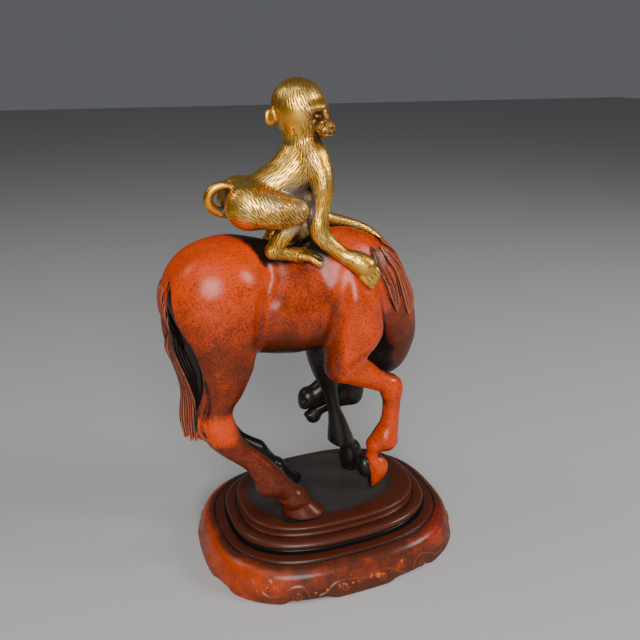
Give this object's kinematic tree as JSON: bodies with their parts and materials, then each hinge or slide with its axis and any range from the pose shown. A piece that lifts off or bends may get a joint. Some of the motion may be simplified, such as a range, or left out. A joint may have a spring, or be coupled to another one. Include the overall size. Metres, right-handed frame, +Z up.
{
  "type": "monkey on horse figure",
  "caption": "Cast bronze figure of a gilt monkey crouching on the back of a red-brown horse that bends its head to its foreleg, on an oval stepped stand.",
  "frame": {"origin": "centre of the stand's underside", "axes": "+X from the horse's tail towards its chest, +Y to the horse's left, +Z up"},
  "size_m": [0.1147, 0.0836, 0.1811],
  "materials": {
    "lacquered_stand": "glossy red-brown lacquer over bronze, black in the middle, worn orange at the edges",
    "red_patina": "satin vermilion-brown patina with fine dark speckle and black in the hollows",
    "gilding": "rubbed gilding with chased fur, dark in the recesses"
  },
  "bodies": {
    "root": {"stand": "lacquered_stand", "horse": "red_patina", "monkey": "gilding"}
  },
  "joints": []
}
